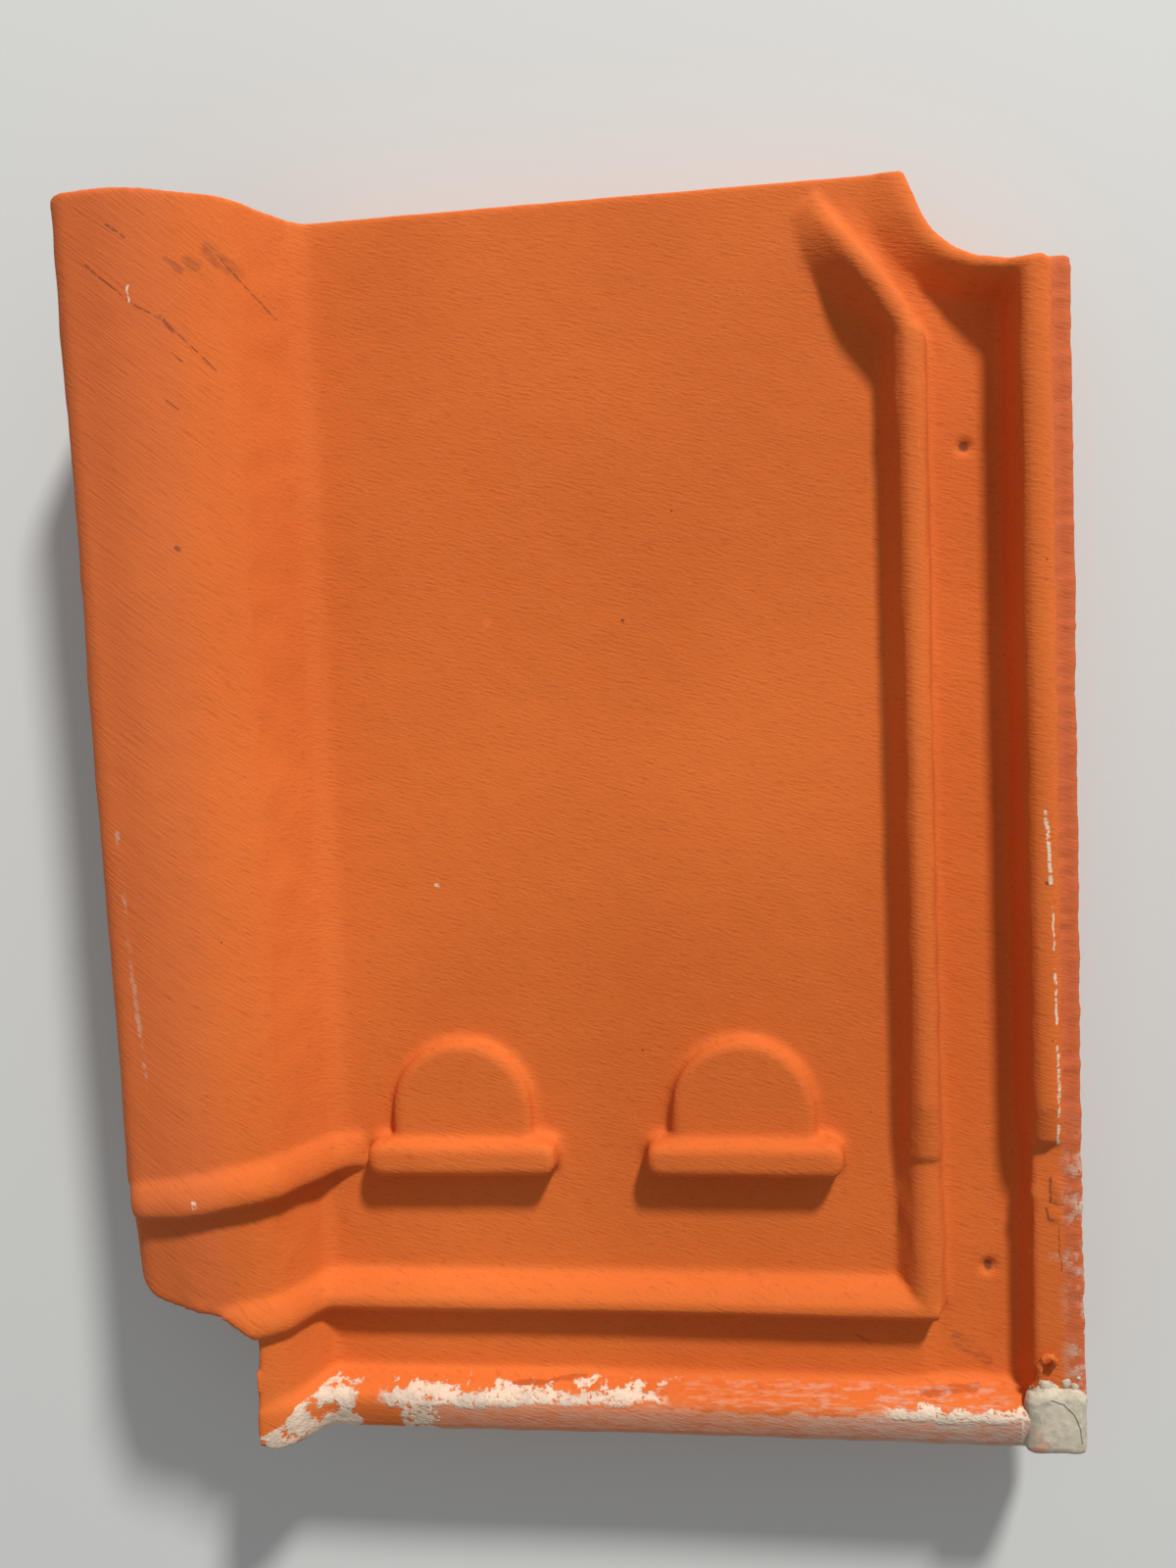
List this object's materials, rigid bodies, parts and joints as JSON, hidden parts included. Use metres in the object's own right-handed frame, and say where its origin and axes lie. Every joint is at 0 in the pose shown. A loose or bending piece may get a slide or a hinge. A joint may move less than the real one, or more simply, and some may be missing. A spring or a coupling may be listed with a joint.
{
  "type": "clay roof tile",
  "caption": "Interlocking clay pantile with a tapered side roll, flat pan, ribbed water fold, head fold with groove and cut corners.",
  "frame": {"origin": "under the middle of the tile's box, on the plane that its nibs and rest lip stand on", "axes": "+Z out of the weather face, +Y from the head to the tail (down the roof slope), +X from the roll to the water fold"},
  "size_m": [0.2564, 0.3326, 0.0557],
  "materials": {
    "fired_clay": "matte unglazed terracotta with lime and mortar traces"
  },
  "bodies": {
    "root": {"roof_tile": "fired_clay"}
  },
  "joints": []
}
